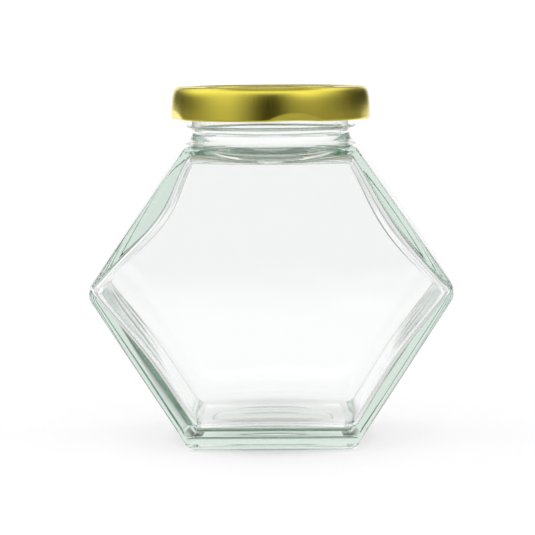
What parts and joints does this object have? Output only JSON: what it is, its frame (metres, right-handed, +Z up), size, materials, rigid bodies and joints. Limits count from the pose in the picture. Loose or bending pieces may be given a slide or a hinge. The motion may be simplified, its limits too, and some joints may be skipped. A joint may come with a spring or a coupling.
{
  "type": "empty hexagonal glass honey jar with lid",
  "caption": "Flat clear glass jar whose broad faces are hexagons, with rounded edges, a thick base, a short round neck and a gold twist-off metal lid",
  "frame": {"origin": "middle of the base, on the surface the jar stands on", "axes": "+Z up along the neck, +X across the hexagon from side corner to side corner, broad front face towards -Y"},
  "size_m": [0.1194, 0.0666, 0.1185],
  "materials": {
    "glass": "gloss",
    "gold_lacquer": "satin gloss"
  },
  "bodies": {
    "root": {"jar": "glass", "lid": "gold_lacquer"}
  },
  "joints": []
}
